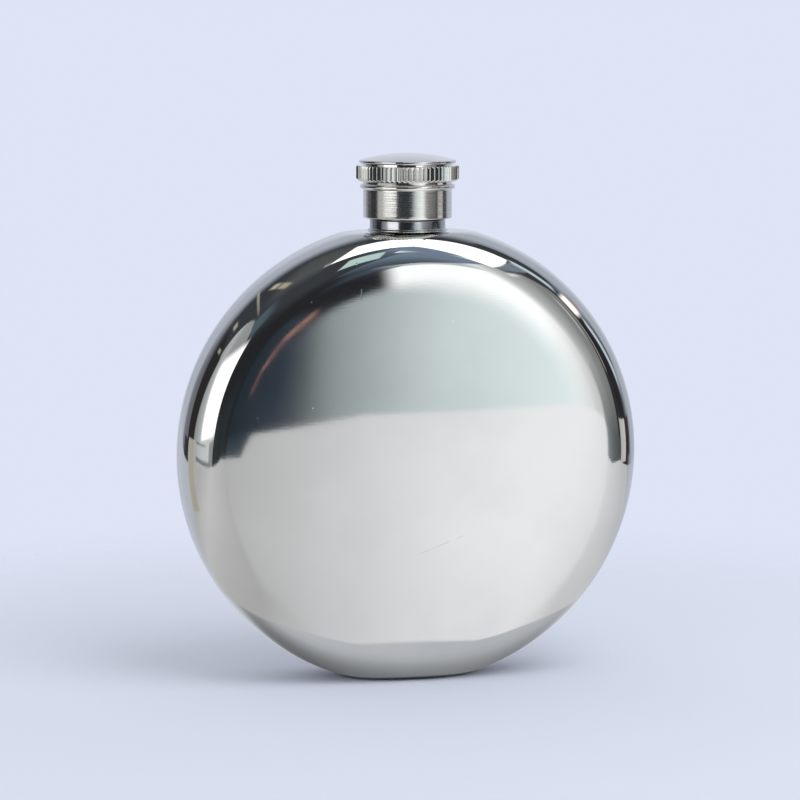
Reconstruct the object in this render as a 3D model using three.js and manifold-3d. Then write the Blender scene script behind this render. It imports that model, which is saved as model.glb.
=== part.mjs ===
// Round pocket flask in polished stainless steel. Two pressed half shells are welded together round
// the rim, a turned neck is welded on the top flat, and a screw cap with a knurled grip closes it on
// a sealing washer. Millimetres, +Z up, front face towards -Y, origin at the centre of the base flat.
import * as THREE from 'three';
import { mergeVertices } from 'three/addons/utils/BufferGeometryUtils.js';
import Module from 'manifold-3d';

const wasm = await Module();
wasm.setup();

// Pressed body
const bodyDiameter = 94;
const bodyThickness = 27; // front to back, at the crowns of the two faces
const faceCrownRadius = 320;
const cornerRadius = 9; // roll between face and rim
const rimCrownRadius = 25; // the rim is a band, slightly crowned
const wall = 0.7;
const endFlatDepth = 1.7; // how far the base and top flats are pressed into the round
const flatBlend = 0.7; // how far the round eases into a flat
const seamWidth = 1.2;
const seamBead = 0.3; // weld metal standing proud inside

// Turned neck
const neckDiameter = 15.24; // shoulder that shows under the cap
const shoulderHeight = 2.25;
const shoulderChamfer = 0.15;
const threadDiameter = 14.2; // over the crests
const threadWall = 1.6; // from the crests to the bore
const rimChamfer = 0.5;
const pourLip = 0.35; // rounding of the mouth
const footFlare = 0.35; // of the foot, beyond the shoulder
const footEdge = 0.3;
const spigotWall = 0.9; // of the tube that goes down through the body wall
const spigotReach = 1.3; // below the inside of the wall
const spigotClearance = 0.2;
const neckWeldLeg = 0.25;

// Screw cap
const capGap = 0.3; // between the shoulder and the skirt of the closed cap
const threadClearance = 0.35;
const skirtDiameter = 17.84;
const skirtHeight = 5.75;
const skirtChamfer = 0.25;
const beadDiameter = 19.16;
const beadHeight = 1.15;
const lowerRelief = 0.5; // bare tube between bead and grip
const upperRelief = 0.45; // and between grip and disc
const gripDiameter = 20.65;
const gripHeight = 3.1;
const gripLowerChamfer = 0.5;
const gripUpperChamfer = 0.2;
const gripTeeth = 60;
const gripToothDepth = 0.4;
const discDiameter = 19.5;
const discEdge = 0.6;
const discRise = 1.4; // of the domed top, above its edge
const plugDepth = 1; // of the disc, into the sleeve
const plugClearance = 0.1;
const sealThickness = 1.5;
const sealLap = 0.05; // past the bore of the neck
const sealClearance = 0.3;

// Facets
const bodySegments = 72;
const turnedSegments = 40;
const faceSteps = 4;
const cornerSteps = 6;
const rimSteps = 2;
const filletSteps = 4;
const beadSteps = 6;
const domeSteps = 4;
const pointsPerTooth = 4;

// Levels, worked out from the sizes above
const bodyRadius = bodyDiameter / 2;
const halfHeight = bodyRadius - endFlatDepth;
const topFlat = 2 * halfHeight;
const capBottom = shoulderHeight + capGap; // over the top flat
const sleeveHeight = skirtHeight + beadHeight + lowerRelief + gripHeight + upperRelief;
const neckRim = capBottom + sleeveHeight - plugDepth - sealThickness;
const capBore = threadDiameter + 2 * threadClearance;
const neckBore = threadDiameter - 2 * threadWall;
const spigotDiameter = neckBore + 2 * spigotWall;
const sealBore = neckBore - 2 * sealLap;

// Solids
const at = (x, y) => new THREE.Vector2(x, y);

function solidOf(geometry) {
  const bare = geometry.clone();
  bare.deleteAttribute('normal');
  bare.deleteAttribute('uv');
  const merged = mergeVertices(bare, 1e-4);
  return new wasm.Manifold(new wasm.Mesh({
    numProp: 3,
    vertProperties: merged.attributes.position.array,
    triVerts: new Uint32Array(merged.index.array),
  }));
}

function geometryOf(solid) {
  const { vertProperties, triVerts } = solid.getMesh();
  const geometry = new THREE.BufferGeometry();
  geometry.setAttribute('position', new THREE.BufferAttribute(vertProperties, 3));
  geometry.setIndex(new THREE.BufferAttribute(triVerts, 1));
  geometry.computeVertexNormals();
  return geometry;
}

// Points along an oval or round arc, both ends included. Angles are in radians, from +X.
function ovalArc(centre, radiusX, radiusY, from, to, steps) {
  return Array.from({ length: steps + 1 }, (_, i) => {
    const angle = from + ((to - from) * i) / steps;
    return at(centre.x + radiusX * Math.cos(angle), centre.y + radiusY * Math.sin(angle));
  });
}

function arc(centre, radius, from, to, steps) {
  return ovalArc(centre, radius, radius, from, to, steps);
}

// A ring or disc turned about its own Y axis. The profile closes on itself, or lies against the axis.
function turned(profile, segments = turnedSegments) {
  return new THREE.LatheGeometry([...profile, profile[0]], segments);
}

// Pressed body
// The half profile has three tangent arcs: face, corner and rim. X is the distance from the middle
// of the round, and Y the distance from the seam plane.
const rimCentre = at(bodyRadius - rimCrownRadius, 0);
const faceCentre = at(0, bodyThickness / 2 - faceCrownRadius);
const cornerCentre = meetingPoint(
  rimCentre, rimCrownRadius - cornerRadius, faceCentre, faceCrownRadius - cornerRadius);

// The right-hand one of the two points where two circles cross.
function meetingPoint(a, radiusA, b, radiusB) {
  const gap = b.clone().sub(a);
  const along = (radiusA ** 2 - radiusB ** 2 + gap.lengthSq()) / (2 * gap.length());
  const aside = Math.sqrt(radiusA ** 2 - along ** 2);
  const unit = gap.normalize();
  return at(a.x + unit.x * along - unit.y * aside, a.y + unit.y * along + unit.x * aside);
}

// From the seam to the middle of the face, a given depth under the outer skin.
function halfProfile(depth, fromY) {
  const rimAngle = cornerCentre.clone().sub(rimCentre).angle();
  const faceAngle = cornerCentre.clone().sub(faceCentre).angle();
  const rimRadius = rimCrownRadius - depth;
  return [
    ...arc(rimCentre, rimRadius, Math.asin(fromY / rimRadius), rimAngle, rimSteps),
    ...arc(cornerCentre, cornerRadius - depth, rimAngle, faceAngle, cornerSteps).slice(1),
    ...arc(faceCentre, faceCrownRadius - depth, faceAngle, Math.PI / 2, faceSteps).slice(1),
  ];
}

// 0 under -blend, x over blend and a parabola between, so that flat and round meet with no crease.
function ease(x, blend) {
  if (x >= blend) return x;
  return x <= -blend ? 0 : (x + blend) ** 2 / (4 * blend);
}

// The press flattens both ends of the round at this distance from the middle.
function pressEnds(geometry, limit) {
  const place = geometry.attributes.position;
  for (let i = 0; i < place.count; i++) {
    const z = place.getZ(i);
    place.setZ(i, Math.sign(z) * (limit - ease(limit - Math.abs(z), flatBlend)));
  }
  return geometry;
}

// Half of the body as a filled solid, a given depth under the outer skin. Side is 1 for the rear half.
function filledHalf(depth, fromY, side) {
  const profile = halfProfile(depth, fromY);
  profile[profile.length - 1].x = 0;
  const points = [at(0, fromY), ...profile].map((p) => at(p.x, side * p.y));
  if (side < 0) points.reverse();
  return solidOf(pressEnds(new THREE.LatheGeometry(points, bodySegments), halfHeight - depth));
}

function neckHole() {
  const radius = spigotDiameter / 2 + spigotClearance;
  const depth = 2 * (wall + seamBead + endFlatDepth);
  const hole = new THREE.CylinderGeometry(radius, radius, 2 * depth, turnedSegments);
  return solidOf(hole.rotateX(Math.PI / 2).translate(0, 0, halfHeight));
}

function halfShell(side) {
  const inside = filledHalf(wall, seamWidth / 4, side);
  return geometryOf(filledHalf(0, seamWidth / 2, side).subtract(inside).subtract(neckHole()));
}

// The weld fills the seam between the two halves, flush outside and standing proud inside.
function rimWeld() {
  const edge = seamWidth / 2;
  const lean = Math.asin(edge / rimCrownRadius);
  const outer = arc(rimCentre, rimCrownRadius, -lean, lean, rimSteps);
  const skin = halfProfile(wall, edge)[0].x;
  const bead = [at(skin, -edge), at(skin - seamBead, 0), at(skin, edge)];
  const inner = [at(skin, -seamWidth), ...bead, at(skin, seamWidth)];
  const disc = new THREE.LatheGeometry([at(0, -edge), ...outer, at(0, edge)], bodySegments);
  const core = new THREE.LatheGeometry([at(0, -seamWidth), ...inner, at(0, seamWidth)], bodySegments);
  return geometryOf(solidOf(pressEnds(disc, halfHeight))
    .subtract(solidOf(pressEnds(core, halfHeight - wall)))
    .subtract(neckHole()));
}

// Turned neck, from the top flat upwards
function neckProfile() {
  const bore = neckBore / 2;
  const spigot = spigotDiameter / 2;
  const shoulder = neckDiameter / 2;
  const thread = threadDiameter / 2;
  const foot = shoulder + footFlare;
  const bottom = -(wall + spigotReach);
  return [
    at(bore, bottom),
    at(spigot, bottom),
    at(spigot, 0),
    at(foot, 0),
    ...arc(at(foot, footEdge + footFlare), footFlare, -Math.PI / 2, -Math.PI, filletSteps),
    at(shoulder, shoulderHeight - shoulderChamfer),
    at(shoulder - shoulderChamfer, shoulderHeight),
    at(thread, shoulderHeight),
    at(thread, neckRim - rimChamfer),
    at(thread - rimChamfer, neckRim),
    ...arc(at(bore + pourLip, neckRim - pourLip), pourLip, Math.PI / 2, Math.PI, filletSteps / 2),
  ];
}

// Fillet of weld metal in the corner between the foot of the neck and the top flat
function neckWeldProfile() {
  const foot = neckDiameter / 2 + footFlare;
  const rise = Math.min(neckWeldLeg, footEdge);
  const centre = at(foot + neckWeldLeg, rise);
  return [at(foot, 0), ...ovalArc(centre, neckWeldLeg, rise, -Math.PI / 2, -Math.PI, filletSteps / 2)];
}

// Screw cap, from the lower edge of its skirt upwards
function sleeveProfile() {
  const bore = capBore / 2;
  const skirt = skirtDiameter / 2;
  const beadCentre = at(skirt, skirtHeight + beadHeight / 2);
  const beadProud = beadDiameter / 2 - skirt;
  return [
    at(bore + skirtChamfer, 0),
    at(skirt - skirtChamfer, 0),
    at(skirt, skirtChamfer),
    ...ovalArc(beadCentre, beadProud, beadHeight / 2, -Math.PI / 2, Math.PI / 2, beadSteps),
    at(skirt, sleeveHeight),
    at(bore, sleeveHeight),
    at(bore, skirtChamfer),
  ];
}

// The grip is a turned band with chamfered ends, crossed by straight flutes.
function gripBand() {
  const tip = gripDiameter / 2;
  const inner = (capBore + skirtDiameter) / 4; // inside the wall of the sleeve
  const low = skirtHeight + beadHeight + lowerRelief;
  const high = low + gripHeight;
  const over = tip / Math.cos(Math.PI / turnedSegments); // the facets lie outside the tips
  const lower = gripLowerChamfer + over - tip;
  const upper = gripUpperChamfer + over - tip;
  const blank = solidOf(turned([
    at(inner, low),
    at(over - lower, low),
    at(over, low + lower),
    at(over, high - upper),
    at(over - upper, high),
    at(inner, high),
  ]));
  const count = gripTeeth * pointsPerTooth;
  const outline = Array.from({ length: count }, (_, i) => {
    const wave = (1 - Math.cos((2 * Math.PI * i) / pointsPerTooth)) / 2;
    const radius = tip - gripToothDepth * wave;
    const angle = (2 * Math.PI * i) / count;
    return at(radius * Math.cos(angle), radius * Math.sin(angle));
  });
  const extrusion = { depth: sleeveHeight, bevelEnabled: false };
  const flutes = new THREE.ExtrudeGeometry(new THREE.Shape(outline), extrusion);
  return blank.intersect(solidOf(flutes.rotateX(-Math.PI / 2)));
}

function capSleeve() {
  return geometryOf(solidOf(turned(sleeveProfile())).add(gripBand()));
}

// Domed disc that closes the sleeve, from the underside of its rim upwards
function capTopProfile() {
  const edge = discDiameter / 2;
  const round = discEdge / 2;
  const domeRadius = ((edge - round / 2) ** 2 + discRise ** 2) / (2 * discRise);
  const apex = discEdge + discRise;
  const domeCentre = at(0, apex - domeRadius);
  const domeAngle = Math.acos((edge - round / 2) / domeRadius);
  const plug = capBore / 2 - plugClearance;
  const dome = arc(domeCentre, domeRadius, domeAngle, Math.PI / 2, domeSteps);
  dome[domeSteps].x = 0;
  return [
    at(0, -plugDepth),
    at(plug, -plugDepth),
    at(plug, 0),
    at(edge - round, 0),
    at(edge, round),
    ...dome,
  ];
}

function sealProfile() {
  const outside = capBore / 2 - sealClearance;
  return [
    at(sealBore / 2, 0),
    at(outside, 0),
    at(outside, sealThickness),
    at(sealBore / 2, sealThickness),
  ];
}

// Finishes
const polishedSteel = new THREE.MeshStandardMaterial({ color: 0xcfd0d0, roughness: 0.08, metalness: 1 });
const turnedSteel = new THREE.MeshStandardMaterial({ color: 0xc6c5c0, roughness: 0.22, metalness: 1 });
const weldSteel = new THREE.MeshStandardMaterial({ color: 0xb4b3b0, roughness: 0.3, metalness: 1 });
const silicone = new THREE.MeshStandardMaterial({ color: 0xe6e6e2, roughness: 0.55, metalness: 0 });

function piece(name, geometry, material) {
  const mesh = new THREE.Mesh(geometry, material);
  mesh.name = name;
  return mesh;
}

// Turned pieces stand with their axis along +Z.
function standing(height, ...pieces) {
  const group = new THREE.Group();
  group.rotation.x = Math.PI / 2;
  group.position.z = height;
  group.add(...pieces);
  return group;
}

const body = new THREE.Group();
body.position.z = halfHeight;
body.add(
  piece('front_shell', halfShell(-1), polishedSteel),
  piece('rear_shell', halfShell(1), polishedSteel),
  piece('rim_weld', rimWeld(), weldSteel),
);

const neck = standing(topFlat,
  piece('neck', turned(neckProfile()), turnedSteel),
  piece('neck_weld', turned(neckWeldProfile()), weldSteel));

const cap = standing(topFlat + capBottom, piece('cap_sleeve', capSleeve(), turnedSteel));
const capTop = standing(topFlat + capBottom + sleeveHeight,
  piece('cap_top', new THREE.LatheGeometry(capTopProfile(), turnedSegments), polishedSteel));
const seal = standing(topFlat + neckRim, piece('seal_washer', turned(sealProfile()), silicone));

const flask = new THREE.Group();
flask.add(body, neck, cap, capTop, seal);

export default flask;
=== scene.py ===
import math

import bmesh
import bpy
from mathutils import Matrix, Vector
from mathutils.geometry import intersect_sphere_sphere_2d


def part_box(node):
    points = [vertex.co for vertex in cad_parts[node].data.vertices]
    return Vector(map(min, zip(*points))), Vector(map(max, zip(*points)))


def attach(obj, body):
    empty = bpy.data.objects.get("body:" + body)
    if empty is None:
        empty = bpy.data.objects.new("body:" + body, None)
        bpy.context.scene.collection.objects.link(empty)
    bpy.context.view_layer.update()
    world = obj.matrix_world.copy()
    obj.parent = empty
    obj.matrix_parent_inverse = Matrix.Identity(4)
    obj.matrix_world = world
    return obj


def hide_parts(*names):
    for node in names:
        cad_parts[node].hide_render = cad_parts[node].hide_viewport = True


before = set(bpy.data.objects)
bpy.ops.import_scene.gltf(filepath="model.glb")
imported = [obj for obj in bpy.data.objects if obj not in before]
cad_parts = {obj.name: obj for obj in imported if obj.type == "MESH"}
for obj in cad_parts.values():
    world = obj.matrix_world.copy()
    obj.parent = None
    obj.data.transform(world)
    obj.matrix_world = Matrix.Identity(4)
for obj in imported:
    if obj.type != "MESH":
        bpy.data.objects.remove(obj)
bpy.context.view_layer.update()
print("frame loaded:", len(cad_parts), "nodes")

mm = 0.001
near = 0.01 * mm  # lengths that differ by less are taken as the same
fullTurn = 2 * math.pi
upAxis = Vector((0, 0, 1))
discAxis = Vector((0, 1, 0))

# Levels and radii that the frame gives
shellLow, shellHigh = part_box("front_shell")
_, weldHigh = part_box("rim_weld")
neckLow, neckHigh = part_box("neck")
sleeveLow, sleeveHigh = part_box("cap_sleeve")
topLow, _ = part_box("cap_top")
sealLow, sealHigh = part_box("seal_washer")
bodyRadius = weldHigh.x
bodyCentre = Vector((0, 0, (shellLow.z + shellHigh.z) / 2))
halfHeight = shellHigh.z - bodyCentre.z
topFlat = shellHigh.z


# Node trees

class Wire:  # a socket: Python maths on it adds Math nodes
    def __init__(self, look, socket):
        self.look = look
        self.socket = socket

    def maths(self, operation, first, second=0.0):
        return self.look.node("ShaderNodeMath", {"operation": operation}, {0: first, 1: second})

    def __add__(self, other):
        return self.maths("ADD", self, other)

    def __radd__(self, other):
        return self.maths("ADD", other, self)

    def __sub__(self, other):
        return self.maths("SUBTRACT", self, other)

    def __rsub__(self, other):
        return self.maths("SUBTRACT", other, self)

    def __mul__(self, other):
        return self.maths("MULTIPLY", self, other)

    def __rmul__(self, other):
        return self.maths("MULTIPLY", other, self)

    def __truediv__(self, other):
        return self.maths("DIVIDE", self, other)

    def __rtruediv__(self, other):
        return self.maths("DIVIDE", other, self)

    def __pow__(self, other):
        return self.maths("POWER", self, other)

    def __rpow__(self, other):
        return self.maths("POWER", other, self)

    # the angle whose sideways part is this and whose forward part is ahead
    def bearing(self, ahead):
        return self.maths("ARCTAN2", self, ahead)


class Look:  # a node tree that is being filled
    def __init__(self, tree):
        self.tree = tree
        tree.nodes.clear()

    def node(self, kind, settings=None, values=None, output=0):
        made = self.tree.nodes.new(kind)
        for name, value in (settings or {}).items():
            if name == "stops":
                self.setStops(made.color_ramp.elements, value)
            else:
                setattr(made, name, value)
        for key, value in (values or {}).items():
            if isinstance(value, Wire):
                self.tree.links.new(value.socket, made.inputs[key])
            else:
                made.inputs[key].default_value = value
        return Wire(self, made.outputs[output]) if made.outputs else None

    def setStops(self, elements, stops):
        for k, (position, colour) in enumerate(stops):
            spot = elements[k] if k < 2 else elements.new(position)  # a new ramp has two
            spot.position = position
            spot.color = colour

    # 0 below low, 1 above high, eased or straight between; low may be the larger
    def step(self, value, low, high, kind="SMOOTHSTEP"):
        ends = {"Value": value, "From Min": low, "From Max": high, "To Min": 0.0, "To Max": 1.0}
        return self.node("ShaderNodeMapRange", {"interpolation_type": kind}, ends)

    def length(self, vector):
        return self.node("ShaderNodeVectorMath", {"operation": "LENGTH"}, {0: vector}, "Value")

    def mix(self, factor, first, second):
        return self.node("ShaderNodeMix", {"data_type": "RGBA"}, {0: factor, 6: first, 7: second}, 2)

    def tinted(self, tint, level):
        settings = {"data_type": "RGBA", "blend_type": "MULTIPLY"}
        return self.node("ShaderNodeMix", settings, {0: 1.0, 6: level, 7: tint}, 2)

    def split(self, vector):
        parts = self.node("ShaderNodeSeparateXYZ", None, {"Vector": vector}).socket.node.outputs
        return [Wire(self, part) for part in parts]

    # brightness stops with one tint, as shares of the last stop
    def ramp(self, value, stops, tint):
        full = stops[-1][1]
        colours = [(position, [part * level / full for part in tint] + [1]) for position, level in stops]
        return self.node("ShaderNodeValToRGB", {"stops": colours}, {"Fac": value})

    def where(self):
        return self.node("ShaderNodeTexCoord", output="Object")

    # scale is one number or three
    def place(self, scale):
        scales = scale if isinstance(scale, tuple) else (scale,) * 3
        return self.node("ShaderNodeMapping", None, {"Vector": self.where(), "Scale": scales})

    def noise(self, scale, detail=2.0):
        values = {"Vector": self.place(scale), "Scale": 1.0, "Detail": detail}
        return self.node("ShaderNodeTexNoise", None, values)

    def bumped(self, height, depth):
        return self.node("ShaderNodeBump", None, {"Strength": 1.0, "Distance": depth, "Height": height})

    def glow(self, colour, stops):
        return self.node("ShaderNodeEmission", None, {"Color": colour, "Strength": stops[-1][1]})

    def blend(self, factor, first, second):
        return self.node("ShaderNodeMixShader", None, {0: factor, 1: first, 2: second})

    def ray(self, kind):
        return self.node("ShaderNodeLightPath", output=kind)

    def surface(self, shader):
        self.node("ShaderNodeOutputMaterial", None, {"Surface": shader})


def newLook(name):
    material = bpy.data.materials.new(name)
    material.use_nodes = True
    return material, Look(material.node_tree)


# colour, roughness and bump are functions that add their own nodes
def metal(name, colour, roughness, bump, bumpDepth):
    material, look = newLook(name)
    normal = look.bumped(bump(look), bumpDepth)
    look.surface(look.node("ShaderNodeBsdfPrincipled", None, {
        "Base Color": colour(look), "Metallic": 1.0, "Roughness": roughness(look), "Normal": normal}))
    return material


# Finishes

mirrorFinish = {
    "clean": (0.72, 0.715, 0.70, 1),
    "dull": (0.68, 0.675, 0.66, 1),
    "clouds": 60, "cloudEdge": (0.35, 0.7),  # where clean turns dull
    "roughness": 0.03, "lineRoughness": 0.02,
    "smears": (45, 45, 110), "smearEdge": (0.45, 0.75), "smearRoughness": 0.022,
    "buffLines": (90, 90, 7000),  # along the face, fine across it
    "buffDashes": (450, 450, 3200),
    "wave": 35,  # unevenness of the pressed sheet
    "specks": 240, "speckEdge": (0.06, 0.02),
    "patches": 70, "patchEdge": (0.54, 0.58),  # only some patches of the sheet have specks
    "lineHeight": 0.008, "dashHeight": 0.035, "waveHeight": 1.6, "speckDepth": 0.35,  # shares of bumpDepth
    "bumpDepth": 0.02 * mm,
}

# Hairline scratches on the front face, each from one point to another, across and up
faceScratches = (
    ((-0.6 * mm, 26.7 * mm), (11.7 * mm, 31.3 * mm)),
    ((-33.0 * mm, 53.8 * mm), (-32.4 * mm, 56.0 * mm)),
    ((-21.4 * mm, 76.0 * mm), (-21.6 * mm, 79.6 * mm)),
    ((-12.0 * mm, 77.4 * mm), (-11.7 * mm, 80.0 * mm)),
)
scratchCut = {
    "colour": (0.30, 0.30, 0.31, 1), "colourShare": 0.35,
    "depth": 0.12,  # share of bumpDepth
    "halfWidth": 0.09 * mm,
    "bow": 0.4 * mm, "bowScale": 150,  # how far the line wanders
    "breaks": 480, "breakEdge": (0.47, 0.56),
    "taper": 0.1,  # share of the length that fades at either end
}


def scratch(look, start, end):
    c = scratchCut
    x, _, z = look.split(look.where())
    run, rise = end[0] - start[0], end[1] - start[1]
    span = math.hypot(run, rise)
    along = (x - start[0]) * (run / span) + (z - start[1]) * (rise / span)
    across = (x - start[0]) * (rise / span) - (z - start[1]) * (run / span)
    broken = look.step(look.noise(c["breaks"], detail=1.0), *c["breakEdge"])
    bow = c["bow"] * look.noise(c["bowScale"], detail=0.0)
    line = look.step((across + bow - c["bow"] / 2) ** 2, c["halfWidth"] ** 2, 0.0)
    fadeIn = look.step(along, 0.0, c["taper"] * span)
    fadeOut = look.step(along, span, (1 - c["taper"]) * span)
    return line * broken * fadeIn * fadeOut


def mirrorSteel(name, scratches=()):
    m = mirrorFinish

    def cuts(look):
        return sum(scratch(look, *ends) for ends in scratches)

    def colour(look):
        cloud = look.noise(m["clouds"], detail=3.0)
        tone = look.mix(look.step(cloud, *m["cloudEdge"]), m["clean"], m["dull"])
        if not scratches:
            return tone
        return look.mix(scratchCut["colourShare"] * cuts(look), tone, scratchCut["colour"])

    def roughness(look):
        lines = look.noise(m["buffLines"])
        smears = look.step(look.noise(m["smears"], detail=4.0), *m["smearEdge"])
        return m["roughness"] + m["smearRoughness"] * smears + m["lineRoughness"] * lines

    def bump(look):
        lines = look.noise(m["buffLines"], detail=1.0)
        wave = look.noise(m["wave"], detail=1.0)
        dashes = look.noise(m["buffDashes"])
        spots = look.node("ShaderNodeTexVoronoi", None, {"Vector": look.place(m["specks"]), "Scale": 1.0})
        patches = look.step(look.noise(m["patches"], detail=0.0), *m["patchEdge"])
        specks = look.step(spots, *m["speckEdge"]) * patches
        height = m["lineHeight"] * lines + m["dashHeight"] * dashes + m["waveHeight"] * wave
        return height - m["speckDepth"] * specks - scratchCut["depth"] * cuts(look)

    return metal(name, colour, roughness, bump, m["bumpDepth"])


turnedFinish = {
    "cap": ((0.80, 0.78, 0.74, 1), (0.69, 0.672, 0.64, 1)),  # bright and dark
    # the neck's tones are darker and cooler than the cap's: painted shade from the cap's skirt above it
    "neck": ((0.47, 0.48, 0.50, 1), (0.40, 0.41, 0.43, 1)),
    "toneEdge": (0.4, 0.75),
    "polished": 0.07, "turned": 0.12, "markRoughness": 0.06,
    "fineRings": (40, 40, 9000), "ringHeight": 0.2,
    "toolMarks": (160, 160, 4600), "markHeight": 0.7,  # short streaks along the ring that the tool leaves
    "capRings": 5.75 * mm,  # height of the rings on the cap
    "ringEnd": 0.1 * mm,  # they fade over this to either side
    "bumpDepth": 0.02 * mm,
}


# Turned rings up to ringTop, plain polish above it
def turnedSteel(name, ringTop, tones):
    t = turnedFinish

    def rings(look):
        _, _, height = look.split(look.where())
        return look.step(height, ringTop + t["ringEnd"], ringTop - t["ringEnd"])

    def colour(look):
        return look.mix(look.step(look.noise(t["toolMarks"], detail=3.0), *t["toneEdge"]), *tones)

    def roughness(look):
        turned = (t["turned"] - t["polished"]) + t["markRoughness"] * look.noise(t["toolMarks"])
        return t["polished"] + rings(look) * turned

    def bump(look):
        marks = t["ringHeight"] * look.noise(t["fineRings"]) + t["markHeight"] * look.noise(t["toolMarks"])
        return rings(look) * marks

    return metal(name, colour, roughness, bump, t["bumpDepth"])


weldFinish = {
    "tone": (0.62, 0.61, 0.59, 1), "shade": (0.55, 0.54, 0.53, 1), "mottle": 900,
    "roughness": 0.1, "smears": (700, 4000, 700), "smearRoughness": 0.1,
    "grinding": (500, 6000, 500), "grindingHeight": 0.4,
    "bumpDepth": 0.02 * mm,
}


def weldSteel(name):
    w = weldFinish

    def colour(look):
        return look.mix(look.noise(w["mottle"], detail=3.0), w["tone"], w["shade"])

    def roughness(look):
        return w["roughness"] + w["smearRoughness"] * look.noise(w["smears"])

    def bump(look):
        return w["grindingHeight"] * look.noise(w["grinding"])

    return metal(name, colour, roughness, bump, w["bumpDepth"])


siliconeFinish = {
    "pale": (0.80, 0.80, 0.77, 1), "stained": (0.72, 0.71, 0.66, 1),
    "stains": 350, "stainEdge": (0.4, 0.7),
    "roughness": 0.45, "stainRoughness": 0.12,
    "grain": 2500, "grainDepth": 0.01 * mm,
    "glow": 0.3, "glowReach": (1.0 * mm, 1.0 * mm, 0.9 * mm),  # light that passes through
}


def siliconeRubber(name):
    s = siliconeFinish
    material, look = newLook(name)
    cloud = look.noise(s["stains"], detail=3.0)
    look.surface(look.node("ShaderNodeBsdfPrincipled", None, {
        "Base Color": look.mix(look.step(cloud, *s["stainEdge"]), s["pale"], s["stained"]),
        "Roughness": s["roughness"] + s["stainRoughness"] * cloud,
        "Normal": look.bumped(look.noise(s["grain"]), s["grainDepth"]),
        "Subsurface Weight": s["glow"], "Subsurface Radius": s["glowReach"]}))
    return material


frontSteel = mirrorSteel("polishedFrontSteel", faceScratches)
bodySteel = mirrorSteel("polishedBodySteel")
capSteel = turnedSteel("turnedCapSteel", sleeveLow.z + turnedFinish["capRings"], turnedFinish["cap"])
neckSteel = turnedSteel("turnedNeckSteel", neckHigh.z, turnedFinish["neck"])
seamSteel = weldSteel("groundWeldSteel")
sealRubber = siliconeRubber("siliconeRubber")
print("finishes made")


# Mesh helpers

doublings = 3  # an eighth of the turn is spun and doubled three times, much quicker than one long spin
mergeReach = 0.001 * mm


def everything(bm):
    return bm.verts[:] + bm.edges[:] + bm.faces[:]


def spin(bm, points, axis, segments, closed=False, mark=None, marks=()):
    verts = [bm.verts.new(p) for p in points]
    for v, value in zip(verts, marks):
        v[mark] = value
    edges = [bm.edges.new(pair) for pair in zip(verts, verts[1:])]
    if closed:
        edges.append(bm.edges.new((verts[-1], verts[0])))
    shares = 2 ** doublings
    part = fullTurn / shares
    bmesh.ops.spin(bm, geom=verts + edges, cent=(0, 0, 0), axis=axis, dvec=(0, 0, 0),
                   angle=part, steps=segments // shares, use_merge=False, use_duplicate=False)
    for k in range(doublings):
        copy = bmesh.ops.duplicate(bm, geom=everything(bm))["geom"]
        bmesh.ops.rotate(bm, cent=(0, 0, 0), matrix=Matrix.Rotation(part * 2 ** k, 3, axis),
                         verts=[v for v in copy if isinstance(v, bmesh.types.BMVert)])
    bmesh.ops.remove_doubles(bm, verts=bm.verts, dist=mergeReach)


def finishPiece(name, bm, material, body, node, sharpAngle=40):
    bmesh.ops.recalc_face_normals(bm, faces=bm.faces)
    mesh = bpy.data.meshes.new(name)
    bm.to_mesh(mesh)
    bm.free()
    mesh.polygons.foreach_set("use_smooth", [True] * len(mesh.polygons))
    mesh.set_sharp_from_angle(angle=math.radians(sharpAngle))
    mesh.materials.append(material)
    piece = bpy.data.objects.new(name, mesh)
    bpy.context.scene.collection.objects.link(piece)
    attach(piece, body)
    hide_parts(node)
    print("piece", name, len(mesh.polygons), "faces")
    return piece


# A turned outline in millimetres
# Each corner is (radius, height, rounding), and a fourth value spaces the rows up to the next corner
def turnedRows(corners, base, arcSteps=4, closed=True):
    count = len(corners)
    points = [Vector((c[0], c[1])) for c in corners]
    rows = []
    for i, corner in enumerate(corners):
        rounding = corner[2]
        here = points[i]
        isEnd = not closed and i in (0, count - 1)
        if rounding and not isEnd:
            rows += roundedCorner(points[i - 1], here, points[(i + 1) % count], rounding, arcSteps)
        else:
            rows.append(here)
        if len(corner) > 3:
            ahead = points[(i + 1) % count]
            pieces = max(1, round((ahead - rows[-1]).length / corner[3]))
            start = rows[-1].copy()
            rows += [start.lerp(ahead, k / pieces) for k in range(1, pieces)]
    return [Vector((p.x * mm, 0, base + p.y * mm)) for p in rows]


def roundedCorner(before, corner, after, radius, steps):
    toBefore = (before - corner).normalized()
    toAfter = (after - corner).normalized()
    half = math.acos(max(-1, min(1, toBefore.dot(toAfter)))) / 2
    middle = (toBefore + toAfter).normalized()
    centre = corner + middle * (radius / math.sin(half))
    start = corner + toBefore * (radius / math.tan(half)) - centre
    end = corner + toAfter * (radius / math.tan(half)) - centre
    swing = start.angle_signed(end)
    return [centre + Matrix.Rotation(-swing * k / steps, 2) @ start for k in range(steps + 1)]


# Corners along part of an ellipse, from one angle in degrees to another
def arcCorners(radius, height, across, up, start, end, steps):
    angles = [math.radians(start + (end - start) * k / steps) for k in range(steps + 1)]
    return [(radius + across * math.cos(a), height + up * math.sin(a), 0) for a in angles]


def smooth(value, low, high):
    t = max(0.0, min(1.0, (value - low) / (high - low)))
    return t * t * (3 - 2 * t)


# Pressed body: the curvature runs smoothly from the face through the roll to the rim

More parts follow.
